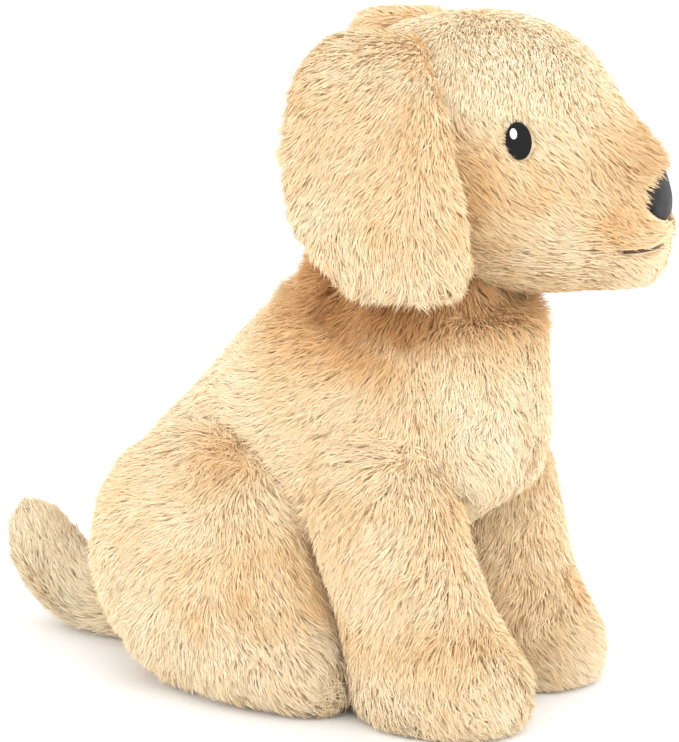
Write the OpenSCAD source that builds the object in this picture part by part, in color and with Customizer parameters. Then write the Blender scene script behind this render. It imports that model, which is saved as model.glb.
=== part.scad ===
/* [Body] */
// Width of the trunk at the belly
body_w = 130; // [118:1:138]
// Depth of the trunk at the chest, front to back
body_d = 172; // [160:1:180]
// Height of the neck joint above the floor
neck_z = 163; // [158:1:168]
// Diameter of the stuffed neck plug
neck_d = 80; // [74:1:84]

/* [Head] */
// Width of the skull across the cheeks
head_w = 106; // [98:1:110]
// Length of the head, nape to muzzle tip
head_l = 138; // [132:1:142]
// Height of the skull, jaw to crown
head_h = 107; // [102:1:112]
// Height of the skull's middle above the neck joint
head_rise = 62; // [60:1:66]
// Distance of the skull's middle in front of the neck joint
head_reach = 19; // [14:1:22]
// Turn of the head towards the dog's left as it sits
head_turn = 17; // [0:1:25]

/* [Ears] */
// Length of the ear flap down from its seam
ear_l = 90; // [84:1:96]
// Width of the ear flap
ear_w = 69; // [62:1:74]
// Thickness of the ear flap, both layers
ear_t = 15; // [12:1:16]

/* [Legs and tail] */
// Width of a front leg
leg_w = 55; // [50:1:57]
// Distance between the middles of the front paws
paw_gap = 68; // [64:1:76]
// Height of the hind thigh
thigh_h = 112; // [104:1:116]
// Length of the hind thigh
thigh_l = 114; // [106:1:118]
// Thickness of the tail
tail_d = 26; // [22:1:28]

/* [Fabric] */
// Thickness of the plush fabric on the trunk and head
pile = 6; // [4:0.5:7]
// Thickness of the plush fabric on the limbs
limb_pile = 5; // [3:0.5:6]
// Gap between pieces that are sewn side by side
seam = 0.2; // [0.1:0.05:0.3]
// Gap between bodies that move on each other
clear = 0.4; // [0.3:0.1:0.8]

/* [Face] */
// Width of an embroidered eye
eye_w = 10; // [8:0.5:12]
// Height of an embroidered eye
eye_h = 14.5; // [12:0.5:17]
// Width of the embroidered nose
nose_w = 36; // [30:1:38]
// Height of the embroidered nose
nose_h = 20; // [16:1:22]

/* [Hidden] */

// Corners of each ring of a padded shape
SIDES = 16;
// Reach of the blocks that cut panels out of a shell
FAR = 400;
RIGHT = -1;
LEFT = 1;

golden = [0.93, 0.78, 0.56];
cream = [0.96, 0.88, 0.74];
fibre = [0.95, 0.95, 0.93];

neck = [0, -60, neck_z];
skull = [0, -head_reach, head_rise];
ear_seam = [24, 27, 40];
shoulder = [0, -66, 98];
hip = [38, 42, 40];
// The flat inner face of a thigh, out from the middle of the trunk
hip_face = 33;
// A point on the flat front of a thigh, which leans back behind the front leg, and its lean
thigh_front = [0, -46.8 + 0.6 * (leg_w - 55), 48];
thigh_lean = 17;
// The seat panel: the radius of its round ends and how far they are from its middle
seat_r = 25;
seat_y = 25;
tail_root = [0, 66, 15];

// Limits of the joints, in degrees
turn_limits = [-37, 3];
nod_limits = [-8, 8];
ear_limits = [0, 70];
front_limits = [-12, 0];
hind_limits = [0, 14];
wag_limits = [-25, 25];

// ---- Padded shapes: a row is [centre, half width, half depth, tilt about X, lean about Y] ----

function ring(row, grow) =
    let (w = max(row[1] + grow, 0.5), d = max(row[2] + grow, 0.5), tilt = row[3], lean = row[4])
    [for (i = [0 : SIDES - 1])
        let (a = 360 * i / SIDES, x = w * cos(a) * cos(lean), y = d * sin(a), z = -w * cos(a) * sin(lean))
        row[0] + [x, y * cos(tilt) - z * sin(tilt), y * sin(tilt) + z * cos(tilt)]];

function prism_faces() = concat(
    [[for (i = [SIDES - 1 : -1 : 0]) i]],
    [[for (i = [0 : SIDES - 1]) i + SIDES]],
    [for (i = [0 : SIDES - 1]) let (j = (i + 1) % SIDES) [i, j, j + SIDES, i + SIDES]]
);

module padded(rows, grow = 0) {
    for (i = [0 : len(rows) - 2])
        hull() polyhedron(concat(ring(rows[i], grow), ring(rows[i + 1], grow)), prism_faces());
}

// The room inside a padded shape whose wall is this thick; its end rows close it
module cavity(rows, wall) {
    padded([for (i = [1 : len(rows) - 2]) rows[i]], -wall);
}

function ball_rows(centre, half, steps = 8) = [
    for (i = [0 : steps]) let (a = -87 + 174 * i / steps)
        [centre + [0, 0, half[2] * sin(a)], half[0] * cos(a), half[1] * cos(a), 0, 0]
];

// Trunk, from the seat to the neck: [height, middle in y, half width, half depth]
TRUNK = [
    for (r = [
        [0, 2, 44, 50], [8, 2, 54, 60], [24, 1, 61, 70], [44, -3, 63, 74], [67, -4, 61, 70],
        [81, -15, 60, 78], [96, -29, 57, 84], [117, -41, 53, 75], [142, -51, 47, 63],
        [154, -57, 43, 57], [160, -59, 38, 51]
    ]) [[0, r[1], r[0] * (neck_z - 3) / 160], r[2] * body_w / 130, r[3] * body_d / 172, 0, 0]
];

// Head, from nape to muzzle, in the head's own frame: [forward, middle in z, half width, half height]
HEAD = [
    for (r = [
        [-56, -4, 6, 6], [-52, -3, 24, 22], [-42, -1, 38, 35], [-25, 0, 48, 47.5], [-5, 0, 53, 53],
        [15, 0, 52, 54], [32, -2.5, 47, 52], [45, -5.5, 41, 48.5], [54, -9.5, 36, 43],
        [62, -16, 32, 35.5], [69, -22, 29, 29], [75, -24.5, 25, 25], [79.5, -25.5, 19, 19.5],
        [82, -25.5, 10, 10.5]
    ]) [[0, -r[0] * head_l / 138, r[1] * head_h / 107], r[2] * head_w / 106, r[3] * head_h / 107, 90, 0]
];

// Ear flap, from its seam to its hem: [out, back, up, half length, half thickness, lean]
EAR = [
    for (r = [
        [24, 27, 42, 14, 0.7, 75], [33, 28, 42, 20, 0.95, 58], [43, 28.5, 36, 26, 1, 42],
        [51, 27.5, 26, 30.5, 1, 25], [56.5, 26, 12, 33, 1, 12], [59, 24.5, -5, 34.5, 1, 4],
        [59.5, 21, -20, 34, 1, 0], [58.5, 16.5, -33, 30.5, 0.95, -3], [57.5, 13, -42, 24, 0.8, -5],
        [56.5, 11, -47, 14.5, 0.5, -5]
    ]) [[r[0], r[1], 42 - (42 - r[2]) * ear_l / 90], r[4] * ear_t / 2, r[3] * ear_w / 69, 0, -r[5]]
];

// Front leg, from sole to shoulder: [height, out from the paw's middle, middle in y, half width, half depth]
FRONT_LEG = [
    for (r = [
        [0, 0, -90, 18, 26], [3, 0, -91, 24, 32], [10, 0, -91, 27, 36], [22, 0, -90, 27.5, 36],
        [34, 1, -85, 27, 32], [48, 3, -80, 27, 29], [68, 6, -74, 27, 29], [90, 7, -68, 25, 30],
        [107, 5, -64, 19, 25], [118, 2, -62, 10, 15]
    ]) [[paw_gap / 2 + r[1], r[2], r[0]], r[3] * leg_w / 55, r[4] * leg_w / 55, 0, 0]
];

// Hind leg: the rounded thigh, and the foot that lies along the floor in front of it
THIGH = ball_rows([45, 4, thigh_h / 2], [27, thigh_l / 2, thigh_h / 2]);
FOOT = [
    for (r = [
        [12, 20, 12, 10], [4, 20, 20, 17], [-10, 20, 22, 20], [-26, 20, 22.5, 20],
        [-40, 19, 21, 19], [-49, 17, 16, 15.5], [-54, 16, 8, 8.5]
    ]) [[46, r[0], r[1]], r[2], r[3], 90, 0]
];

// Tail, from its root to its tip: [back, height, share of the thickness, tilt]
TAIL = [
    for (r = [
        [56, 15, 0.5, -90], [62, 15, 0.85, -90], [76, 14.5, 1, -90], [90, 15, 1.04, -84],
        [103, 18.5, 1.06, -68], [113, 26, 1.04, -50], [119, 34, 0.95, -37], [123, 41, 0.8, -28],
        [125.5, 46.5, 0.52, -20], [126.5, 49.5, 0.2, -20]
    ]) [[0, r[0], r[1]], r[2] * tail_d / 2, r[2] * tail_d / 2, r[3], 0]
];

// ---- Places and motions ----

module side(s) {
    scale([s, 1, 1]) children();
}

module in_head() {
    translate(neck) rotate([0, 0, head_turn]) translate(skull) children();
}

module turned(angle, axis, pivot) {
    translate(pivot) rotate(angle, axis) translate(-pivot) children();
}

// Everything its child passes through between two joint angles
module swept(limits, axis, pivot, steps) {
    for (i = [0 : steps])
        turned(limits[0] + (limits[1] - limits[0]) * i / steps, axis, pivot) children();
}

module half_space(direction, offset) {
    translate(direction * (FAR / 2 + offset)) cube(FAR, center = true);
}

module above_floor() {
    intersection() {
        children();
        half_space([0, 0, 1], 0);
    }
}

// ---- Whole shapes, each with its own skin thickness still solid ----

module front_leg_shape(grow = 0) {
    padded(FRONT_LEG, grow);
}

module outside_hip_face(grow) {
    intersection() {
        children();
        half_space([1, 0, 0], hip_face - grow);
    }
}

module behind_front_leg(grow) {
    intersection() {
        children();
        translate(thigh_front) rotate([-thigh_lean, 0, 0]) half_space([0, 1, 0], -grow);
    }
}

module thigh_shape(grow) {
    outside_hip_face(grow) behind_front_leg(grow) padded(THIGH, grow);
}

module foot_shape(grow) {
    outside_hip_face(grow) padded(FOOT, grow);
}

module hind_leg_shape(grow = 0) {
    thigh_shape(grow);
    foot_shape(grow);
}

module hind_leg_room(wall) {
    outside_hip_face(-wall) {
        behind_front_leg(-wall) cavity(THIGH, wall);
        cavity(FOOT, wall);
    }
}

// All the room that a splaying hind leg takes, without hollows
module hind_leg_block(gap) {
    hull() swept(hind_limits, [0, 0, 1], hip, 2) thigh_shape(gap);
    hull() swept(hind_limits, [0, 0, 1], hip, 2) foot_shape(gap);
}

module tail_shape(grow = 0) {
    padded(TAIL, grow);
}

// Where the legs and the tail pass, with room to move
module limb_room(gap) {
    for (s = [RIGHT, LEFT]) side(s) {
        swept(front_limits, [1, 0, 0], shoulder, 4) front_leg_shape(gap);
        hind_leg_block(gap);
        translate([28, -56, 0]) cube([FAR, 16, 54]);
    }
    hull() swept(wag_limits, [0, 0, 1], tail_root, 2) tail_shape(gap);
}

// The same places as plain blocks, for the stuffing behind them
module limb_blocks(gap) {
    for (s = [RIGHT, LEFT]) side(s) {
        hull() swept(front_limits, [1, 0, 0], shoulder, 1) front_leg_shape(gap);
        hind_leg_block(gap);
    }
    hull() swept(wag_limits, [0, 0, 1], tail_root, 2) tail_shape(gap);
}

module seat_shape(grow, thickness) {
    linear_extrude(thickness) {
        for (y = [-seat_y, seat_y]) translate([0, y]) circle(seat_r + grow, $fn = 48);
        square([2 * (seat_r + grow), 2 * seat_y], center = true);
    }
}

module trunk_shell() {
    difference() {
        padded(TRUNK);
        cavity(TRUNK, pile);
        limb_room(clear);
        translate([0, 0, -1]) seat_shape(seam, 6 + seam);
    }
}

module chest_zone(gap) {
    translate([-38 - gap, -FAR - 20, 30 - gap]) cube([76 + 2 * gap, FAR, FAR]);
}

module head_shape(grow = 0) {
    padded(HEAD, grow);
}

module neck_socket(gap) {
    translate(-skull) sphere(neck_d / 2 + gap, $fn = 36);
}

module ear_room(gap) {
    for (s = [RIGHT, LEFT]) side(s)
        translate(ear_seam) rotate([90, 0, 0])
            cylinder(h = 60, r = ear_t / 2 + gap, center = true, $fn = 24);
}

module ear_shape(grow = 0) {
    padded(EAR, grow);
}

// One layer of the ear: out is 1 for the face that shows and -1 for the lining
module ear_layer(out) {
    difference() {
        padded([for (r = EAR)
            let (half = r[1] / 2, shift = out * (half + seam / 2))
            [r[0] + shift * [cos(r[4]), 0, -sin(r[4])], half, r[2], 0, r[4]]]);
        head_shape(clear);
    }
}

// ---- Face ----

eye_at = [45.9, -30.4, 11.4];
eye_yaw = -20;
eye_pitch = 10;

module on_eye(s) {
    side(s) translate(eye_at) rotate([0, 0, eye_yaw]) rotate([0, 90 - eye_pitch, 0])
        rotate([0, 0, -6]) children();
}

module oval(w, h, thickness) {
    linear_extrude(thickness) scale([h / 2, w / 2]) circle(1, $fn = 48);
}

module eye_zone(gap) {
    for (s = [RIGHT, LEFT])
        on_eye(s) translate([0, 0, -2.5 - gap]) oval(eye_w + 2 * gap, eye_h + 2 * gap, 12);
}

module nose_prism(gap) {
    translate([0, -50, -16]) rotate([90, 0, 0])
        linear_extrude(60) scale([nose_w / 2 + gap, nose_h / 2 + gap]) circle(1, $fn = 40);
}

module mouth_prism(gap) {
    for (s = [RIGHT, LEFT]) side(s)
        translate([2, -85, -34.9 - gap]) cube([26, 16, 1.2 + 2 * gap]);
}

module head_shell() {
    difference() {
        head_shape();
        cavity(HEAD, pile);
        neck_socket(clear);
        ear_room(clear);
        eye_zone(0.1);
        difference() {
            union() {
                nose_prism(0.1);
                mouth_prism(0.1);
            }
            head_shape(-1.3);
        }
    }
}

module gusset_zone(gap) {
    translate([-20 - gap, -FAR, -30 - gap]) cube([40 + 2 * gap, 2 * FAR, FAR]);
    translate([-20 - gap, -gap, -FAR]) cube([40 + 2 * gap, FAR, 2 * FAR]);
}

module chin_zone(gap) {
    translate([-20 - gap, -FAR, -FAR - 30 - seam]) cube([40 + 2 * gap, FAR - seam, FAR]);
}

// ---- Head pieces ----

module head_side(s) {
    color(golden) in_head() difference() {
        intersection() {
            head_shell();
            half_space([s, 0, 0], 0);
        }
        gusset_zone(seam);
        chin_zone(seam);
    }
}

module head_gusset() {
    color(golden) in_head() intersection() {
        head_shell();
        gusset_zone(0);
    }
}

module chin_panel() {
    color(cream) in_head() intersection() {
        head_shell();
        chin_zone(0);
    }
}

module head_stuffing() {
    color(fibre) in_head() difference() {
        cavity(HEAD, pile + seam);
        neck_socket(clear);
        ear_room(clear);
    }
}

module eye(s) {
    color([0.06, 0.06, 0.06]) in_head() difference() {
        on_eye(s) translate([0, 0, -2.4]) oval(eye_w, eye_h, 3.4);
        on_eye(s) translate([-3, 1.8, 0.2]) oval(2.9, 4.4, 2);
    }
}

module eye_glint(s) {
    color("white") in_head() on_eye(s) translate([-3, 1.8, 0.3]) oval(2.7, 4.2, 1);
}

module nose() {
    color([0.07, 0.07, 0.09]) in_head() difference() {
        intersection() {
            head_shape(0.6);
            nose_prism(0);
        }
        head_shape(-1.2);
    }
}

module mouth_stitch() {
    color([0.25, 0.16, 0.11]) in_head() difference() {
        intersection() {
            head_shape(0.2);
            mouth_prism(0);
        }
        head_shape(-1.2);
    }
}

// ---- Ears ----

module ear_outer(s) {
    color(cream) in_head() side(s) ear_layer(1);
}

module ear_lining(s) {
    color(golden) in_head() side(s) ear_layer(-1);
}

// ---- Trunk ----

module neck_stuffing() {
    color(fibre) translate(neck) intersection() {
        sphere(neck_d / 2, $fn = 48);
        half_space([0, 0, 1], clear - 3);
    }
}

module body_side(s) {
    color(golden) difference() {
        intersection() {
            trunk_shell();
            half_space([s, 0, 0], seam / 2);
        }
        chest_zone(seam);
    }
}

module chest_panel() {
    color(cream) intersection() {
        trunk_shell();
        chest_zone(0);
    }
}

module seat_panel() {
    color(golden) difference() {
        seat_shape(0, 5);
        closing_thread(0.5);
    }
}

// The arc of thread along the back edge of the seat
module closing_thread(r) {
    translate([0, seat_y, 2.5]) rotate([0, 0, 35]) rotate_extrude(angle = 110, $fn = 64)
        translate([seat_r - 0.3, 0]) circle(r, $fn = 16);
}

module closing_seam() {
    color("ivory") closing_thread(0.4);
}

module bag_solid(grow) {
    translate([0, 4, 22]) rotate_extrude($fn = 64) intersection() {
        scale([26 + grow, 14 + grow]) circle(1, $fn = 64);
        translate([0, -60]) square([120, 120]);
    }
}

module pellet_bag() {
    color("lightgrey") difference() {
        bag_solid(0);
        bag_solid(-1);
    }
}

module pellets() {
    color("white") for (ix = [-3 : 3], iy = [-3 : 3], iz = [-1 : 1]) {
        at = [6 * (ix + 0.5 * abs(iy % 2)), 5.4 * iy, 5.8 * iz];
        if (norm([at.x, at.y]) < 16)
            translate([0, 4, 22] + at) sphere(2.5, $fn = 16);
    }
}

module body_stuffing() {
    color(fibre) difference() {
        cavity(TRUNK, pile + seam);
        limb_blocks(clear + seam);
        bag_solid(seam);
        seat_shape(1, 5 + 2 * seam);
    }
}

// ---- Legs ----

module front_leg_skin() {
    difference() {
        front_leg_shape();
        cavity(FRONT_LEG, limb_pile);
    }
}

module front_leg_half(s, out) {
    color(golden) side(s) intersection() {
        front_leg_skin();
        translate([paw_gap / 2 + 3, 0, 0]) half_space([out, 0, 0], seam / 2);
    }
}

module front_leg_stuffing(s) {
    color(fibre) side(s) cavity(FRONT_LEG, limb_pile + seam);
}

module hind_leg_half(s, out) {
    color(golden) side(s) above_floor() difference() {
        intersection() {
            hind_leg_shape();
            translate([46, 0, 0]) half_space([out, 0, 0], seam / 2);
        }
        hind_leg_room(limb_pile);
    }
}

module hind_leg_stuffing(s) {
    color(fibre) side(s) hind_leg_room(limb_pile + seam);
}

// ---- Tail ----

module tail_skin(up) {
    color(golden) difference() {
        tail_shape();
        cavity(TAIL, 4);
        tail_seam(-up);
    }
}

// The half of space on one side of the seam that follows the middle of the tail
module tail_seam(up) {
    translate([0, 84, 20]) rotate([up > 0 ? 32 : 212, 0, 0]) half_space([0, 0, 1], -seam / 2);
}

module tail_stuffing() {
    color(fibre) cavity(TAIL, 4 + seam);
}

head_side(RIGHT);  // head_side_right
head_side(LEFT);  // head_side_left
head_gusset();
chin_panel();
head_stuffing();
eye(RIGHT);  // eye_right
eye(LEFT);  // eye_left
eye_glint(RIGHT);  // eye_glint_right
eye_glint(LEFT);  // eye_glint_left
nose();
mouth_stitch();
ear_outer(RIGHT);  // ear_outer_right
ear_lining(RIGHT);  // ear_lining_right
ear_outer(LEFT);  // ear_outer_left
ear_lining(LEFT);  // ear_lining_left
neck_stuffing();
body_side(RIGHT);  // body_side_right
body_side(LEFT);  // body_side_left
chest_panel();
seat_panel();
body_stuffing();
pellet_bag();
pellets();
closing_seam();
front_leg_half(RIGHT, 1);  // front_leg_outer_right
front_leg_half(RIGHT, -1);  // front_leg_inner_right
front_leg_stuffing(RIGHT);  // front_leg_stuffing_right
front_leg_half(LEFT, 1);  // front_leg_outer_left
front_leg_half(LEFT, -1);  // front_leg_inner_left
front_leg_stuffing(LEFT);  // front_leg_stuffing_left
hind_leg_half(RIGHT, 1);  // hind_leg_outer_right
hind_leg_half(RIGHT, -1);  // hind_leg_inner_right
hind_leg_stuffing(RIGHT);  // hind_leg_stuffing_right
hind_leg_half(LEFT, 1);  // hind_leg_outer_left
hind_leg_half(LEFT, -1);  // hind_leg_inner_left
hind_leg_stuffing(LEFT);  // hind_leg_stuffing_left
tail_skin(1);  // tail_upper
tail_skin(-1);  // tail_under
tail_stuffing();
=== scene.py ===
"""The looks of a sitting plush puppy: stuffed skins, sewn face and combed fur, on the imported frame."""

import math

import bmesh
import bpy
import numpy as np
from mathutils import Matrix, Vector, kdtree
from mathutils.bvhtree import BVHTree


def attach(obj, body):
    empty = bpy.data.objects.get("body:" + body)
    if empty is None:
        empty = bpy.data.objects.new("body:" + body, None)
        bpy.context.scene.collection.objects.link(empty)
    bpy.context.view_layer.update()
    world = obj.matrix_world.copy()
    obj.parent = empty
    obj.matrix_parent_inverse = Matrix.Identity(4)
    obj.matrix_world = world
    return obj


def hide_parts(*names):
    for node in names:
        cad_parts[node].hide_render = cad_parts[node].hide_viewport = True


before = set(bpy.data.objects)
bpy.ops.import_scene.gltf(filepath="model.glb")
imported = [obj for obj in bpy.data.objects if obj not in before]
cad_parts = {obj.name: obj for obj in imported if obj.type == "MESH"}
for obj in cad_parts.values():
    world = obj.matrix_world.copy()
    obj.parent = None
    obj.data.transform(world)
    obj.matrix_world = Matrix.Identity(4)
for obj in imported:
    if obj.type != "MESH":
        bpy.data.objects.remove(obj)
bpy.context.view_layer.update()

MM = 0.001

# How the head sits on the trunk, as in the part's source
HEAD_TURN = math.radians(17)
NECK = Vector((0, -0.060, 0.163))
SKULL = NECK + Matrix.Rotation(HEAD_TURN, 3, "Z") @ Vector((0, -0.019, 0.062))

# Places of the sewn face in the head's own frame, in mm
EYE_AT = (45.9, -30.4, 11.4)
EYE_HALF = (4.8, 7.2)
NOSE_Z = -16
NOSE_HALF = (21.5, 10.2)
EAR_SEAM = (24, 27, 40)
MOUTH_Z = -34.3
# How far the nose's stitching stands out at its rim, and how much more at its middle, in mm
NOSE_RIM = 0.5
NOSE_DOME = 1.3

# How deep the seams beside the chest sink
SEAM_DEPTH = 1.6 * MM

# Fur: how many strands, how wide, how deep their roots sit in the skin, and how clear of the floor they stay
STRANDS_PER_MM2 = 2.35
STRANDS_IN_A_CLUMP = 34
STRANDS_IN_A_PIECE = 60000
STRAND_WIDTH = 0.54 * MM
ROOT_DEPTH = 0.6 * MM
FLOOR_GAP = 0.4 * MM
# The sizes of the slow and the quick waves in the lie of the fur
LONG_WAVE = 14 * MM
SHORT_WAVE = 5 * MM
# Tone runs from 0, cream, to 1, the brown of painted shade in a crease; one strand is as wide as one of
# these steps
TONE_STEPS = 48
TONE_SPREAD = 0.045
FUR_UV = "OFBake"
# Parts this close to each other hide the skin between them, which then has this share of the strands
TOUCHING = 1.6 * MM
HIDDEN_SHARE = 0.2

# The camera, and the lamps: name, place, size, power
CAMERA_TARGET = Vector((0.0082, -0.0219, 0.1261))
CAMERA_AZIMUTH = math.radians(-61)
CAMERA_HEIGHT = math.radians(14)
CAMERA_DISTANCE = 1.5
CAMERA_LENS = 194.4
SENSOR_WIDTH = 36.0
LAMPS = (
    ("key", (-0.75, -1.0, 1.3), 1.2, 7.5),
    ("fill", (-1.3, 0.6, 0.5), 1.2, 7.5),
    ("front", (0.7, -1.3, 0.4), 1.0, 8.5),
)
LAMPS_FACE = Vector((0, -0.01, 0.13))
SKY_STRENGTH = 1.2
FLOOR_SIZE = 3.0


# ---- Shader writing ----


class Wire:
    """A shader socket that does arithmetic by adding Math nodes."""

    def __init__(self, tree, socket):
        self.tree = tree
        self.socket = socket

    def math(self, operation, *others):
        node = self.tree.nodes.new("ShaderNodeMath")
        node.operation = operation
        for slot, value in zip(node.inputs, (self, *others)):
            plug(self.tree, value, slot)
        return Wire(self.tree, node.outputs[0])

    def __add__(self, other):
        return self.math("ADD", other)

    def __radd__(self, other):
        return self.math("ADD", other)

    def __mul__(self, other):
        return self.math("MULTIPLY", other)

    def __pow__(self, other):
        return self.math("POWER", other)

    def clamped(self):
        return self.math("MAXIMUM", 0.0).math("MINIMUM", 1.0)


def plug(tree, value, slot):
    if isinstance(value, Wire):
        tree.links.new(value.socket, slot)
    elif value is not None:
        slot.default_value = value


class Shader:
    """A material under construction."""

    def __init__(self, name, roughness=0.8, sheen=0.0):
        self.material = bpy.data.materials.new(name)
        self.material.use_nodes = True
        self.tree = self.material.node_tree
        self.surface = self.tree.nodes["Principled BSDF"]
        self.set("Roughness", roughness)
        self.set("Sheen Weight", sheen)
        self.set("Specular IOR Level", 0.25)

    def set(self, socket, value):
        plug(self.tree, value, self.surface.inputs[socket])

    def node(self, kind, settings=None, output=0, **values):
        """Adds a node; its settings go first, then the values or links of its sockets."""
        made = self.tree.nodes.new("ShaderNode" + kind)
        for key, value in (settings or {}).items():
            if key == "stops":
                ramp_stops(made.color_ramp, value)
            else:
                setattr(made, key, value)
        for key, value in values.items():
            plug(self.tree, value, made.inputs[key.replace("_", " ")])
        return Wire(self.tree, made.outputs[output])

    def place(self):
        return self.node("TexCoord", output="Object")

    def noise(self, scale, detail=3.0):
        return self.node("TexNoise", None, "Fac", Vector=self.place(), Scale=scale, Detail=detail)

    def bands(self, direction, scale, **values):
        settings = {"wave_type": "BANDS", "bands_direction": direction}
        return self.node("TexWave", settings, "Fac", Vector=self.place(), Scale=scale, **values)

    def ramp(self, value, stops):
        return self.node("ValToRGB", {"stops": stops}, Fac=value)

    def mix(self, factor, a, b):
        made = self.tree.nodes.new("ShaderNodeMix")
        made.data_type = "RGBA"
        for key, value in (("Factor_Float", factor), ("A_Color", a), ("B_Color", b)):
            slot = next(s for s in made.inputs if s.identifier == key)
            plug(self.tree, value, slot)
        return Wire(self.tree, next(s for s in made.outputs if s.identifier == "Result_Color"))

    def bump(self, height, strength, distance):
        self.set("Normal", self.node("Bump", Height=height, Strength=strength, Distance=distance))


def ramp_stops(ramp, stops):
    while len(ramp.elements) > len(stops):
        ramp.elements.remove(ramp.elements[-1])
    while len(ramp.elements) < len(stops):
        ramp.elements.new(1.0)
    for element, (at, colour) in zip(ramp.elements, stops):
        element.position = at
        element.color = (*linear(colour), 1.0)


def linear(colour):
    return tuple(c / 12.92 if c <= 0.04045 else ((c + 0.055) / 1.055) ** 2.4 for c in colour)


# ---- Colours, as they look in daylight, and the brown of painted shade ----

CREAM = (0.975, 0.92, 0.81)
PALE = (0.96, 0.875, 0.73)
GOLD = (0.945, 0.825, 0.645)
HONEY = (0.91, 0.745, 0.53)
TAN = (0.80, 0.59, 0.365)
# Painted shade: the dark brown that the fur takes where shade falls, under the ears and round the neck
SHADE_BROWN = (0.56, 0.36, 0.2)
BAG_DARK = (0.70, 0.69, 0.66)
BAG_LIGHT = (0.86, 0.85, 0.82)
PELLET_GREY = (0.86, 0.87, 0.88)
PELLET_WHITE = (0.95, 0.95, 0.95)

# How close the rows of thread and of weave lie: the scale of their wave pattern
THREAD_ROWS = 420.0
WEAVE_ROWS = 500.0


def fur_material():
    """Colour follows each strand's own map: its tone runs across, its root and tip run up."""
    s = Shader("plush_fur", roughness=0.75, sheen=0.1)
    where = s.tree.nodes.new("ShaderNodeUVMap")
    where.uv_map = FUR_UV
    split = s.tree.nodes.new("ShaderNodeSeparateXYZ")
    s.tree.links.new(where.outputs[0], split.inputs[0])
    tone = Wire(s.tree, split.outputs[0])
    along = Wire(s.tree, split.outputs[1])
    # The darkest tones of both ramps are painted shade
    body = s.ramp(tone, [(0.0, CREAM), (0.25, PALE), (0.5, GOLD), (0.72, HONEY), (0.9, TAN), (1.0, SHADE_BROWN)])
    root = s.ramp(tone, [(0.0, CREAM), (0.4, GOLD), (0.7, HONEY), (0.9, TAN), (1.0, SHADE_BROWN)])
    s.set("Base Color", s.mix(along.clamped() ** 0.45, root, body))
    return s.material


def skin_material():
    """The woven backing and the short underfur, seen only between the strands."""
    s = Shader("plush_backing")
    coarse = s.noise(60.0)
    fine = s.noise(900.0, 2.0)
    s.set("Base Color", s.ramp(coarse * 0.7 + fine * 0.3, [(0.3, GOLD), (0.5, PALE), (0.7, CREAM)]))
    s.set("Roughness", 0.82 + fine * 0.15)
    s.bump(fine, 0.5, 0.0006)
    return s.material


def thread_material(name, dark, light):
    """Satin stitch: rows of glossy thread laid side by side."""
    s = Shader(name, sheen=0.1)
    rows = s.bands("Z", THREAD_ROWS, Distortion=2.5, Detail=2.0, Detail_Scale=1.5)
    fuzz = s.noise(2600.0, 3.0)
    s.set("Base Color", s.ramp(rows * 0.6 + fuzz * 0.5, [(0.25, dark), (0.85, light)]))
    s.set("Roughness", 0.4 + fuzz * 0.3)
    s.bump(rows * 0.8 + fuzz * 0.4, 0.8, 0.0005)
    return s.material


def cloth_material():
    """The thin woven bag round the pellets."""
    s = Shader("bag_cloth")
    weave = s.bands("X", WEAVE_ROWS) * 0.5 + s.bands("Z", WEAVE_ROWS) * 0.5
    s.set("Base Color", s.ramp(weave * 0.5 + s.noise(80.0) * 0.5, [(0.2, BAG_DARK), (0.8, BAG_LIGHT)]))
    s.set("Roughness", 0.75 + weave * 0.2)
    s.bump(weave, 0.6, 0.0003)
    return s.material


def plastic_material():
    """Milky plastic of the filling pellets."""
    s = Shader("pellet_plastic")
    cloud = s.noise(150.0)
    s.set("Base Color", s.ramp(cloud, [(0.3, PELLET_GREY), (0.7, PELLET_WHITE)]))
    s.set("Roughness", 0.3 + cloud * 0.2)
    s.bump(s.noise(900.0), 0.2, 0.0002)
    return s.material


# ---- Skins ----


def joined(name, nodes, padding=None):
    """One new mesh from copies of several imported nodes, with a pad of filling where one is asked for."""
    bm = bmesh.new()
    for node in nodes:
        bm.from_mesh(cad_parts[node].data)
    if padding:
        padding(bm)
    bmesh.ops.remove_doubles(bm, verts=bm.verts, dist=1e-6)
    mesh = bpy.data.meshes.new(name)
    bm.to_mesh(mesh)
    bm.free()
    made = bpy.data.objects.new(name, mesh)
    bpy.context.scene.collection.objects.link(made)
    return made


def apply(obj, kind, **settings):
    """Runs one modifier and keeps its result as the object's mesh."""
    modifier = obj.modifiers.new(kind.lower(), kind)
    for key, value in settings.items():
        setattr(modifier, key, value)
    bpy.context.view_layer.update()
    baked = bpy.data.meshes.new_from_object(obj.evaluated_get(bpy.context.evaluated_depsgraph_get()))
    obj.modifiers.clear()
    obj.data = baked


def outermost(obj):
    """Keeps the largest closed shell and drops what lies inside it."""
    bm = bmesh.new()
    bm.from_mesh(obj.data)
    left = set(bm.verts)
    best = []
    while left:
        start = left.pop()
        found = [start]
        stack = [start]
        while stack:
            for edge in stack.pop().link_edges:
                for v in edge.verts:
                    if v in left:
                        left.remove(v)
                        found.append(v)
                        stack.append(v)
        if len(found) > len(best):
            best = found
    keep = set(best)
    bmesh.ops.delete(bm, geom=[v for v in bm.verts if v not in keep], context="VERTS")
    bm.to_mesh(obj.data)
    bm.free()


def soften(obj, rounds):
    """Smooths a mesh, as filling rounds off a sewn shape, and turns its normals outwards."""
    bm = bmesh.new()
    bm.from_mesh(obj.data)
    every_axis = {"use_axis_x": True, "use_axis_y": True, "use_axis_z": True}
    for _ in range(rounds):
        bmesh.ops.smooth_vert(bm, verts=bm.verts, factor=0.5, **every_axis)
    bmesh.ops.recalc_face_normals(bm, faces=bm.faces)
    bm.to_mesh(obj.data)
    bm.free()


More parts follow.
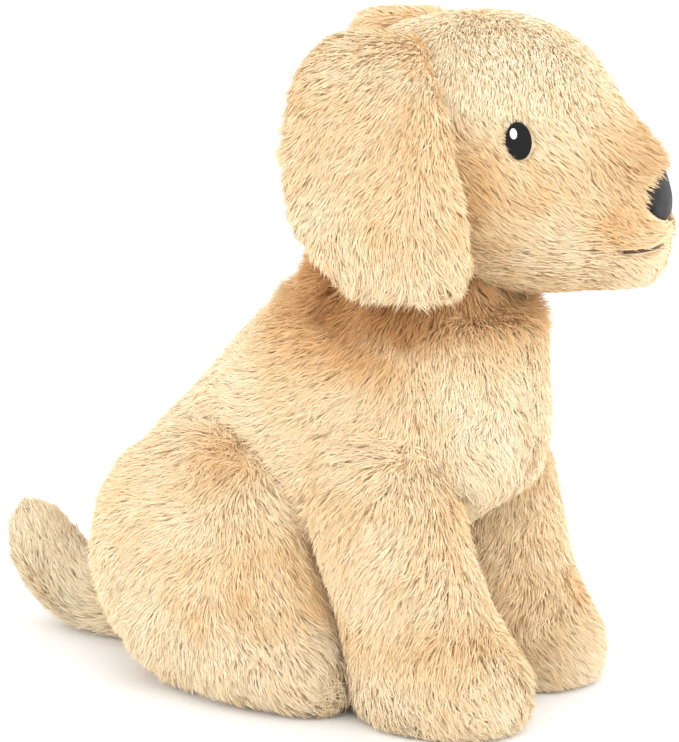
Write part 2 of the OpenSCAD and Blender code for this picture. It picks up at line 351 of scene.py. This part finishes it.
def stuffed_skin(name, nodes, voxel=3.0, rounds=6, padding=None, groove=None):
    """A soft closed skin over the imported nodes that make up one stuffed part."""
    skin = joined(name, nodes, padding)
    apply(skin, "REMESH", mode="VOXEL", voxel_size=voxel * MM)
    outermost(skin)
    soften(skin, rounds)
    if groove:
        pull_in(skin, groove)
    for polygon in skin.data.polygons:
        polygon.use_smooth = True
    skin.data.materials.clear()
    skin.data.materials.append(BACKING)
    return skin


def pull_in(skin, groove):
    """Sinks the skin along its sewn seams."""
    normals = [v.normal.copy() for v in skin.data.vertices]
    places = np.array([v.co for v in skin.data.vertices])
    for vertex, normal, depth in zip(skin.data.vertices, normals, groove(places)):
        vertex.co -= normal * float(depth)


# ---- Fur ----


def lattice_noise(points, size, seed):
    """Smooth random values from 0 to 1, one for each point."""
    rng = np.random.RandomState(seed)
    table = rng.rand(32, 32, 32)
    q = points / size
    base = np.floor(q).astype(int)
    t = q - base
    t = t * t * (3 - 2 * t)
    total = np.zeros(len(points))
    for corner in range(8):
        o = np.array([corner & 1, (corner >> 1) & 1, (corner >> 2) & 1])
        weight = np.prod(np.where(o, t, 1 - t), axis=1)
        i = (base + o) % 32
        total += weight * table[i[:, 0], i[:, 1], i[:, 2]]
    return total


def noise3(points, size, seed):
    """A smooth random vector for each point, from -1 to 1."""
    return np.stack([lattice_noise(points, size, seed + k) for k in range(3)], axis=1) * 2 - 1


def unit(v):
    return v / np.maximum(np.linalg.norm(v, axis=1, keepdims=True), 1e-9)


def roots_on(skin, density, rng):
    """Random points on a skin with their normals; density is strands per square mm at each face centre."""
    mesh = skin.data
    mesh.calc_loop_triangles()
    tris = np.empty(len(mesh.loop_triangles) * 3, np.int32)
    mesh.loop_triangles.foreach_get("vertices", tris)
    tris = tris.reshape(-1, 3)
    co = np.empty(len(mesh.vertices) * 3, np.float32)
    mesh.vertices.foreach_get("co", co)
    co = co.reshape(-1, 3).astype(float)
    normals = np.empty(len(mesh.vertices) * 3, np.float32)
    mesh.vertex_normals.foreach_get("vector", normals)
    normals = normals.reshape(-1, 3).astype(float)
    a, b, c = co[tris[:, 0]], co[tris[:, 1]], co[tris[:, 2]]
    cross = np.cross(b - a, c - a)
    area = np.linalg.norm(cross, axis=1) / 2 * 1e6
    want = area * density((a + b + c) / 3, unit(cross))
    count = int(want.sum())
    pick = rng.choice(len(tris), size=count, p=want / want.sum())
    u, v = rng.rand(count), rng.rand(count)
    flip = u + v > 1
    u[flip], v[flip] = 1 - u[flip], 1 - v[flip]
    w = 1 - u - v
    t = tris[pick]
    weights = (w[:, None], u[:, None], v[:, None])
    points = sum(k * co[t[:, i]] for i, k in enumerate(weights))
    normal = unit(sum(k * normals[t[:, i]] for i, k in enumerate(weights)))
    return points, normal


def held_back(p, reach, bare, slack):
    """The share of each strand that may stay, so that it ends at the edge of a bare patch."""
    keep = np.ones(len(p))
    for share in (0.8, 0.6, 0.45, 0.3, 0.18):
        tip = p + reach * keep[:, None]
        middle = p + reach * keep[:, None] * 0.6
        keep[bare(tip, slack) | bare(middle, slack)] = share
    return keep


def grow_fur(name, skin, style, seed):
    """Combed, clumped strands over a skin; each one is a thin tapered ribbon."""
    rng = np.random.RandomState(seed)
    p, n = roots_on(skin, style.density, rng)
    if style.bare:
        outside = ~style.bare(p, np.ones(len(p)))
        p, n = p[outside], n[outside]
    count = len(p)
    comb, length, lean, tone = style.comb(p, n)
    # Clumps: every strand leans towards the nearest of a scattering of clump centres.
    centres = p[rng.choice(count, size=max(4, count // STRANDS_IN_A_CLUMP), replace=False)]
    tree = kdtree.KDTree(len(centres))
    for i, centre in enumerate(centres):
        tree.insert(centre, i)
    tree.balance()
    nearest = np.array([tree.find(q)[1] for q in p])
    clump_tone = rng.normal(0, 1, len(centres))[nearest]
    clump_turn = rng.normal(0, 1, (len(centres), 3))[nearest]
    pull = centres[nearest] - p
    wander = noise3(p, LONG_WAVE, seed + 50) * 0.42 + noise3(p, SHORT_WAVE, seed + 60) * 0.26
    wander += clump_turn * 0.1
    wander += rng.normal(0, 0.13, (count, 3))
    direction = comb + wander * style.wander
    direction = unit(direction - n * np.sum(direction * n, axis=1, keepdims=True))
    length = length * (1 + rng.normal(0, 0.12, count) + clump_tone * 0.04)
    up = np.sin(lean)[:, None]
    flat = np.cos(lean)[:, None]
    first = unit(n * (up + 0.35) + direction * flat)
    second = unit(n * (up - 0.15) + direction * flat)
    if style.bare:
        reach = (first + second) * length[:, None] / 2
        length = length * held_back(p, reach, style.bare, rng.uniform(0.6, 1.0, count))
    bend = rng.normal(0, 0.06, (count, 3)) * length[:, None]
    middle = p + first * length[:, None] * 0.5
    pull = pull * style.clump
    tip = middle + second * length[:, None] * 0.5 + bend + pull * rng.uniform(0.6, 1.1, (count, 1))
    middle = middle + pull * 0.35
    p = p - n * ROOT_DEPTH
    # Ribbon width lies across the strand, turned by chance about it.
    along = unit(tip - p)
    across = unit(np.cross(along, n))
    face = np.cross(across, along)
    twist = rng.uniform(-1.1, 1.1, count)[:, None]
    across = across * np.cos(twist) + face * np.sin(twist)
    width = (STRAND_WIDTH * rng.uniform(0.75, 1.25, count))[:, None] / 2
    rows = np.stack([p - across * width, p + across * width,
                     middle - across * width * 0.85, middle + across * width * 0.85, tip], axis=1)
    rows[:, :, 2] = np.maximum(rows[:, :, 2], FLOOR_GAP * rng.uniform(0.5, 3.0, (count, 1)))
    tone = tone + rng.normal(0, TONE_SPREAD, count) + clump_tone * TONE_SPREAD * 0.6
    tone = np.clip(tone, 0.01, 0.985)
    order = np.argsort(p @ np.array([1.0, 0.2, 0.1]))
    pieces = -(-count // STRANDS_IN_A_PIECE)
    return [write_strands(f"{name}_{i + 1}", rows[part], tone[part])
            for i, part in enumerate(np.array_split(order, pieces))]


def write_strands(name, rows, tone):
    """Ribbons of one quad and one triangle, with a map of tone across and root to tip up."""
    count = len(rows)
    mesh = bpy.data.meshes.new(name)
    mesh.vertices.add(count * 5)
    mesh.vertices.foreach_set("co", rows.astype(np.float32).ravel())
    first = np.arange(count, dtype=np.int32)[:, None] * 5
    corners = (first + np.array([0, 1, 3, 2, 2, 3, 4], np.int32)).ravel()
    mesh.loops.add(count * 7)
    mesh.loops.foreach_set("vertex_index", corners)
    mesh.polygons.add(count * 2)
    starts = (np.arange(count, dtype=np.int32)[:, None] * 7 + np.array([0, 4], np.int32)).ravel()
    mesh.polygons.foreach_set("loop_start", starts)
    layer = mesh.uv_layers.new(name=FUR_UV)
    step = 1.0 / TONE_STEPS
    low = np.clip(tone - step / 2, 0, 1 - step)
    high = low + step
    middle = (low + high) / 2
    zero, half, one = np.full(count, 0.01), np.full(count, 0.5), np.full(count, 0.99)
    uv = np.stack([low, zero, high, zero, high, half, low, half, low, half, high, half, middle, one], axis=1)
    layer.data.foreach_set("uv", uv.astype(np.float32).ravel())
    mesh.polygons.foreach_set("use_smooth", np.ones(count * 2, bool))
    mesh.update(calc_edges=True)
    mesh.materials.append(FUR)
    made = bpy.data.objects.new(name, mesh)
    bpy.context.scene.collection.objects.link(made)
    return made


class Style:
    """How the fur lies on one part: its comb and density, how it clumps and strays, and its bare patches."""

    def __init__(self, comb, density=None, clump=0.24, wander=1.0, bare=None):
        self.comb = comb
        self.density = density or all_over
        self.clump = clump
        self.wander = wander
        self.bare = bare


def all_over(at, facing):
    return np.full(len(at), STRANDS_PER_MM2)


def less_hidden(own):
    """Fewer strands where a part rests on the floor or lies against another part."""
    bm = bmesh.new()
    for name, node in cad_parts.items():
        if name not in own and name.startswith(("body_", "chest", "front_leg", "hind_leg", "tail")):
            bm.from_mesh(node.data)
    others = BVHTree.FromBMesh(bm)
    bm.free()

    def density(at, facing):
        sole = (facing[:, 2] < -0.85) & (at[:, 2] < 4 * MM)
        touching = np.array([others.find_nearest(Vector(q), TOUCHING)[0] is not None for q in at])
        return np.where(sole | touching, HIDDEN_SHARE, 1.0) * STRANDS_PER_MM2

    return density


def neck_density(at, facing):
    """Fur only on the ring that shows between the trunk and the head."""
    ring = np.hypot(at[:, 0], at[:, 1] - NECK.y) > 26 * MM
    return np.where(ring & (at[:, 2] > NECK.z - 9 * MM), 1.0, 0.02) * STRANDS_PER_MM2


def head_frame(p):
    """Points in the head's own frame, in mm from the skull's middle: x to the dog's left, y back, z up."""
    c, s = math.cos(HEAD_TURN), math.sin(HEAD_TURN)
    q = (p - np.array(SKULL)) / MM
    return np.stack([q[:, 0] * c + q[:, 1] * s, -q[:, 0] * s + q[:, 1] * c, q[:, 2]], axis=1)


def from_head(v):
    c, s = math.cos(HEAD_TURN), math.sin(HEAD_TURN)
    return np.stack([v[:, 0] * c - v[:, 1] * s, v[:, 0] * s + v[:, 1] * c, v[:, 2]], axis=1)


def smooth_step(x, low, high):
    t = np.clip((x - low) / (high - low), 0, 1)
    return t * t * (3 - 2 * t)


def bell(x, middle, spread):
    return np.exp(-(((x - middle) / spread) ** 2))


def blotch(p, size, seed):
    return lattice_noise(p, size, seed) - 0.5


def vectors(count, x, y, z):
    parts = [np.broadcast_to(part, count) for part in (x, y, z)]
    return np.stack(parts, axis=1).astype(float)


def face_bare(p, slack):
    """Where the eyes, the nose and the mouth are sewn and no fur may cover them."""
    q = head_frame(p)
    x, y, z = np.abs(q[:, 0]), q[:, 1], q[:, 2]
    eye = ((y - EYE_AT[1]) / EYE_HALF[0]) ** 2 + ((z - EYE_AT[2]) / EYE_HALF[1]) ** 2
    nose = (x / NOSE_HALF[0]) ** 2 + ((z - NOSE_Z) / NOSE_HALF[1]) ** 2
    mouth = (np.abs(z - MOUTH_Z) < 1.4 * slack) & (y < -68) & (y > -80) & (x < 30)
    return (eye < slack) & (x > 30) | (nose < slack * 1.1) & (y < -50) | mouth


# Each comb gives, for every root, the lie of its strand, its length, its angle to the skin and its tone.
# Places are in mm, in the head's own frame on the head and ears; tones add patches of colour, and patches of
# painted shade, to a base.


def comb_head(p, n):
    q = head_frame(p)
    x, y, z = q[:, 0], q[:, 1], q[:, 2]
    count = len(p)
    side = np.clip(x / 25, -1, 1)
    muzzle = smooth_step(-y, 42, 66)
    jaw = smooth_step(-z, 14, 36)
    chin = smooth_step(-z, 32, 42) * muzzle
    crown = smooth_step(z, 6, 32)
    nape = smooth_step(y, -12, 14)
    forward = -0.75 - 0.4 * jaw + 0.5 * crown + 0.75 * nape + 0.6 * chin
    down = -0.62 + 0.5 * jaw - 0.25 * crown - 0.5 * nape - 0.8 * chin
    comb = from_head(vectors(count, side * (0.15 + 0.3 * crown), forward, down))
    eye = np.sqrt(((y - EYE_AT[1]) / 1.0) ** 2 + ((z - EYE_AT[2]) / 1.4) ** 2)
    near_eye = 1 - smooth_step(eye, 5, 17)
    near_nose = smooth_step(-y, 66, 80)
    bridge = bell(z, 4, 13) * smooth_step(-y, 50, 66)
    length = 7.4 - 2.2 * muzzle * (1 - jaw) - 1.8 * crown - 1.6 * near_eye - 0.9 * near_nose + 3.2 * bridge
    lean = np.radians(18 - 8 * crown + 8 * chin + 8 * muzzle * (1 - jaw) + 12 * bridge)
    brow = bell(z, 20, 9) * bell(y, -34, 12)
    # Painted shade: darker fur on the head below the ear and at the back of the jaw
    ear_jaw_shade = bell(z, -12, 26) * bell(y, -6, 12)
    frizz = bell(z, -22, 9) * bell(y, -62, 13)
    cheek = bell(z, -6, 13) * bell(y, -22, 20)
    tone = 0.30 - 0.18 * crown + 0.30 * frizz + 0.22 * ear_jaw_shade + 0.16 * cheek + 0.16 * bridge
    tone += 0.06 * brow - 0.10 * chin - 0.05 * jaw
    tone += (0.20 * blotch(p, 0.022, 5) + 0.20 * blotch(p, 0.009, 6)) * (1 - 0.65 * crown)
    return comb, length * MM, lean, tone


def comb_ear(sign):
    def comb(p, n):
        q = head_frame(p)
        y, z = q[:, 1], q[:, 2]
        count = len(p)
        front = 1 - smooth_step(y, -6, 22)
        low = smooth_step(-z, 0, 40)
        top = smooth_step(z, 14, 36)
        back = 0.75 * (1 - low) * (1 - front) - 0.35 * front + 0.25 * top
        comb = from_head(vectors(count, sign * 0.55 * top, back, -0.9))
        fringe = smooth_step(-z, 30, 50)
        length = 7.4 + 1.8 * fringe - 1.2 * top
        lean = np.radians(19 + 8 * fringe)
        inward = np.sum(from_head(vectors(count, -sign, 0, 0)) * n, axis=1)
        tone = 0.33 - 0.16 * fringe + 0.14 * bell(z, 16, 12) * bell(y, 8, 14)
        tone += 0.16 * smooth_step(inward, 0.2, 0.8) - 0.05 * top
        tone += 0.17 * blotch(p, 0.016, 15) + 0.18 * blotch(p, 0.006, 16)
        return comb, length * MM, lean, tone

    return comb


def chest_seam(p):
    """How near each place is to the seams between the chest and the sides, 1 on a seam."""
    q = p / MM
    x, y, z = np.abs(q[:, 0]), q[:, 1], q[:, 2]
    front = smooth_step(-y, 60, 80) * smooth_step(z, 50, 70) * (1 - smooth_step(z, 150, 158))
    return bell(x, 39, 4) * front


def comb_trunk(p, n):
    q = p / MM
    x, y, z = q[:, 0], q[:, 1], q[:, 2]
    count = len(p)
    chest = smooth_step(41 - np.abs(x), -2, 3) * smooth_step(-y, 55, 75)
    rear = smooth_step(y, -70, -5)
    comb = vectors(count, 0, (0.55 + 0.4 * rear) * (1 - chest) - 0.1 * chest, -0.7 + 0.35 * rear)
    length = 8.6 - 1.4 * chest
    lean = np.radians(20 + 2 * chest)
    # Painted shade: a brown band round the top of the trunk, under the head and the ears, weaker towards the
    # back
    neck = smooth_step(z, 132, 156) * (1 - 0.6 * smooth_step(y, -30, -5))
    tone = 0.29 - 0.15 * chest + 0.46 * neck * (1 - 0.65 * chest) - 0.10 * rear + 0.14 * chest_seam(p)
    tone += 0.2 * blotch(p, 0.028, 25) + 0.16 * blotch(p, 0.010, 26)
    return comb, length * MM, lean, tone


def comb_neck(p, n):
    q = p / MM
    count = len(p)
    comb = vectors(count, 0, 0.35, -0.8)
    under_jaw = smooth_step(-q[:, 1], 78, 100)
    nape = smooth_step(q[:, 1], -42, -14)
    # Painted shade: the ring of neck fur is brown as the shade under the head and the ears, paler under the
    # jaw and at the nape
    tone = 0.86 - 0.3 * under_jaw - 0.34 * nape + 0.16 * blotch(p, 0.012, 71)
    return comb, np.full(count, 9.5) * MM, np.radians(np.full(count, 42.0)), tone


def comb_front_leg(p, n):
    q = p / MM
    x, y, z = q[:, 0], q[:, 1], q[:, 2]
    count = len(p)
    outward = np.sign(x)
    paw = 1 - smooth_step(z, 14, 40)
    toe = paw * smooth_step(-y, 84, 120)
    comb = vectors(count, outward * (0.12 + 0.2 * paw), 0.35 - 0.8 * paw - 0.3 * toe, -0.9 + 0.25 * paw)
    length = 8.4 - 0.8 * paw
    lean = np.radians(20 + 5 * paw)
    # Painted shade: the inner side of each front leg is a little darker, as the shade between the legs
    inner = smooth_step(-outward * n[:, 0], 0.2, 0.9)
    shoulder = bell(z, 96, 12)
    ankle = bell(z, 40, 10)
    tone = 0.27 - 0.12 * paw + 0.04 * inner + 0.12 * shoulder + 0.1 * ankle
    tone += 0.22 * blotch(p, 0.021, 35) + 0.16 * blotch(p, 0.008, 36)
    return comb, length * MM, lean, tone


def comb_hind_leg(p, n):
    q = p / MM
    x, y, z = q[:, 0], q[:, 1], q[:, 2]
    count = len(p)
    outward = np.sign(x)
    foot = smooth_step(-y, 0, 26) * (1 - smooth_step(z, 30, 46))
    ahead = smooth_step(-y, -26, 34)
    low = 1 - smooth_step(z, 12, 60)
    haunch = vectors(count, 0, 0.85 - 1.25 * ahead - 0.45 * low, -0.55 - 0.3 * ahead - 0.3 * low)
    toes = vectors(count, outward * 0.3, -0.7, -0.55)
    comb = haunch * (1 - foot[:, None]) + toes * foot[:, None]
    length = 8.6 - 0.6 * foot
    lean = np.radians(20 + 5 * foot)
    middle = bell(z, 58, 19) * bell(y, -5, 17)
    top = bell(z, 102, 10) * bell(y, -8, 12)
    edge = bell(y, -42, 8) * smooth_step(z, 36, 52)
    patches = smooth_step(blotch(p, 0.013, 47), -0.12, 0.2)
    tone = 0.25 - 0.12 * foot + (0.1 + 0.3 * patches) * middle + 0.24 * top + 0.24 * edge
    tone += 0.2 * blotch(p, 0.024, 45) + 0.18 * blotch(p, 0.008, 46) - 0.1 * low * (1 - ahead)
    return comb, length * MM, lean, tone


def comb_tail(p, n):
    y = p[:, 1] / MM
    count = len(p)
    out = smooth_step(y, 60, 112)
    comb = vectors(count, 0, 1 - 0.75 * out, 0.1 + 0.9 * out)
    tone = 0.02 + 0.3 * (1 - smooth_step(y, 62, 92))
    tone += 0.2 * blotch(p, 0.018, 55) + 0.2 * blotch(p, 0.008, 56)
    return comb, np.full(count, 8.2) * MM, np.radians(np.full(count, 22.0)), tone


# ---- Making of the dog ----

BACKING = skin_material()
FUR = fur_material()
BLACK_THREAD = thread_material("black_satin_stitch", (0.004, 0.004, 0.005), (0.03, 0.03, 0.034))
WHITE_THREAD = thread_material("white_satin_stitch", (0.93, 0.94, 0.96), (1.0, 1.0, 1.0))
BROWN_THREAD = thread_material("brown_thread", (0.24, 0.14, 0.09), (0.46, 0.32, 0.23))
CREAM_THREAD = thread_material("cream_thread", (0.80, 0.74, 0.62), (0.95, 0.91, 0.82))
BAG_CLOTH = cloth_material()
PELLET_PLASTIC = plastic_material()

HEAD = ("head_side_right", "head_side_left", "head_gusset", "chin_panel", "head_stuffing")
TORSO = ("body_side_right", "body_side_left", "chest_panel", "seat_panel", "body_stuffing")
TAIL = ("tail_upper", "tail_under", "tail_stuffing")


def leg_nodes(kind, side):
    return tuple(f"{kind}_{part}_{side}" for part in ("outer", "inner", "stuffing"))


def stuffed_part(body, nodes, style, slot, seed, fill=0.7, **options):
    """One stuffed body: its skin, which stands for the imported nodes, and the fur that grows on it."""
    skin = stuffed_skin(body + "_skin", nodes, **options)
    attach(skin, body)
    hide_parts(*nodes)
    for fur in grow_fur(body + "_fur", skin, style, seed):
        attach(fur, body)


def ball(bm, place, radii, around, rings):
    """Adds a pad of filling, round or flattened."""
    matrix = place @ Matrix.Diagonal((*radii, 1))
    bmesh.ops.create_uvsphere(bm, u_segments=around, v_segments=rings, radius=1.0, matrix=matrix)


def neck_pad(bm):
    """The filling that swells from the top of the trunk up to the head."""
    ball(bm, Matrix.Translation((0, -0.059, 0.157)), (0.040, 0.053, 0.013), 48, 24)


def shoulder_pads(bm):
    """Round filling about each shoulder's axis, so that the front leg flows into the trunk."""
    for sign in (-1, 1):
        ball(bm, Matrix.Translation((sign * 0.040, -0.066, 0.096)), (0.0235, 0.0255, 0.0255), 32, 20)


def ear_pads(bm):
    """Fills the head in front of each ear's root, so that the fold there closes."""
    turn = Matrix.Translation(SKULL) @ Matrix.Rotation(HEAD_TURN, 4, "Z")
    for sign in (-1, 1):
        at = Vector((sign * EAR_SEAM[0], 1.5, EAR_SEAM[2])) * MM
        ball(bm, turn @ Matrix.Translation(at), (0.0088, 0.0085, 0.0088), 24, 16)


def combed_limb(body, nodes, comb, seed):
    stuffed_part(body, nodes, Style(comb, less_hidden(nodes)), "golden_plush", seed)


def make_dog():
    head_style = Style(comb_head, clump=0.22, wander=0.75, bare=face_bare)
    stuffed_part("head", HEAD, head_style, "golden_plush", 101, rounds=8, padding=ear_pads)
    trunk_style = Style(comb_trunk, less_hidden(TORSO))
    stuffed_part("torso", TORSO, trunk_style, "golden_plush", 202, rounds=8,
                 padding=shoulder_pads, groove=lambda p: SEAM_DEPTH * chest_seam(p))
    neck_style = Style(comb_neck, neck_density)
    stuffed_part("neck", ("neck_stuffing",), neck_style, "fibre_fill", 707, padding=neck_pad)
    for side, sign in (("right", -1), ("left", 1)):
        ear = (f"ear_outer_{side}", f"ear_lining_{side}")
        stuffed_part(f"ear_{side}", ear, Style(comb_ear(sign)), "cream_plush", 303 + sign, 0.4, voxel=2.5)
        combed_limb(f"front_leg_{side}", leg_nodes("front_leg", side), comb_front_leg, 404 + sign)
        combed_limb(f"hind_leg_{side}", leg_nodes("hind_leg", side), comb_hind_leg, 505 + sign)
    combed_limb("tail", TAIL, comb_tail, 606)


def stitched(name, node, material, voxel, swell):
    """A patch of satin stitch over a packed face piece, with its edges rounded off."""
    patch = joined(name, (node,))
    apply(patch, "REMESH", mode="VOXEL", voxel_size=voxel * MM)
    soften(patch, 3)
    for vertex, normal in [(v, v.normal.copy()) for v in patch.data.vertices]:
        vertex.co += normal * swell * MM
    finish_patch(patch, node, material)


def finish_patch(patch, node, material):
    for polygon in patch.data.polygons:
        polygon.use_smooth = True
    patch.data.materials.clear()
    patch.data.materials.append(material)
    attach(patch, "head")
    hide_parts(node)


def nose_patch():
    """Raised satin stitch that follows the tip of the muzzle."""
    patch = joined("nose_stitch", HEAD)
    apply(patch, "REMESH", mode="VOXEL", voxel_size=1.0 * MM)
    outermost(patch)
    soften(patch, 8)
    bm = bmesh.new()
    bm.from_mesh(patch.data)
    q = head_frame(np.array([v.co for v in bm.verts]))
    rim = (q[:, 0] / NOSE_HALF[0]) ** 2 + ((q[:, 2] - NOSE_Z) / NOSE_HALF[1]) ** 2
    gone = [v for v, r, y in zip(bm.verts, rim, q[:, 1]) if r > 1 or y > -50]
    dome = {v: 1 - r for v, r in zip(bm.verts, rim)}
    for vertex in set(bm.verts) - set(gone):
        vertex.co += vertex.normal * (NOSE_RIM + NOSE_DOME * dome[vertex] ** 0.5) * MM
    bmesh.ops.delete(bm, geom=gone, context="VERTS")
    bm.to_mesh(patch.data)
    bm.free()
    apply(patch, "SOLIDIFY", thickness=2.0 * MM, offset=-1.0)
    soften(patch, 2)
    finish_patch(patch, "nose", BLACK_THREAD)


def make_face():
    nose_patch()
    stitched("mouth_thread", "mouth_stitch", BROWN_THREAD, 0.3, 0.3)
    for side in ("right", "left"):
        stitched(f"eye_stitch_{side}", f"eye_{side}", BLACK_THREAD, 0.35, 0.0)
        stitched(f"eye_glint_stitch_{side}", f"eye_glint_{side}", WHITE_THREAD, 0.25, 0.05)


def paint_nodes():
    """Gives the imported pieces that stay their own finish."""
    finishes = {"pellet_bag": BAG_CLOTH, "pellets": PELLET_PLASTIC, "closing_seam": CREAM_THREAD}
    for name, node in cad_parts.items():
        material = finishes.get(name, BACKING)
        if not node.material_slots:
            node.data.materials.append(material)
        for slot in node.material_slots:
            slot.material = material


# ---- Studio ----


def make_studio():
    scene = bpy.context.scene
    scene.view_settings.view_transform = "Standard"
    world = bpy.data.worlds.new("studio")
    world.use_nodes = True
    sky = world.node_tree.nodes["Background"]
    sky.inputs["Color"].default_value = (1.0, 1.0, 1.0, 1.0)
    sky.inputs["Strength"].default_value = SKY_STRENGTH
    scene.world = world
    floor_shader = Shader("studio_floor", roughness=0.9)
    floor_shader.set("Base Color", (0.95, 0.95, 0.95, 1.0))
    bm = bmesh.new()
    bmesh.ops.create_grid(bm, x_segments=1, y_segments=1, size=FLOOR_SIZE)
    mesh = bpy.data.meshes.new("floor")
    bm.to_mesh(mesh)
    bm.free()
    floor = bpy.data.objects.new("floor", mesh)
    floor.data.materials.append(floor_shader.material)
    scene.collection.objects.link(floor)
    for name, place, size, watts in LAMPS:
        lamp = bpy.data.lights.new(name, "AREA")
        lamp.energy = watts
        lamp.size = size
        made = bpy.data.objects.new(name, lamp)
        made.location = place
        made.rotation_euler = (LAMPS_FACE - made.location).to_track_quat("-Z", "Y").to_euler()
        scene.collection.objects.link(made)


def make_camera():
    level = math.cos(CAMERA_HEIGHT)
    aside = math.sin(CAMERA_AZIMUTH) * level
    ahead = -math.cos(CAMERA_AZIMUTH) * level
    away = Vector((aside, ahead, math.sin(CAMERA_HEIGHT)))
    lens = bpy.data.cameras.new("camera")
    lens.sensor_fit = "HORIZONTAL"
    lens.sensor_width = SENSOR_WIDTH
    lens.lens = CAMERA_LENS
    lens.clip_end = 20.0
    camera = bpy.data.objects.new("camera", lens)
    camera.location = CAMERA_TARGET + away * CAMERA_DISTANCE
    camera.rotation_euler = (-away).to_track_quat("-Z", "Y").to_euler()
    bpy.context.scene.collection.objects.link(camera)
    bpy.context.scene.camera = camera


make_camera()
make_studio()
make_dog()
make_face()
paint_nodes()
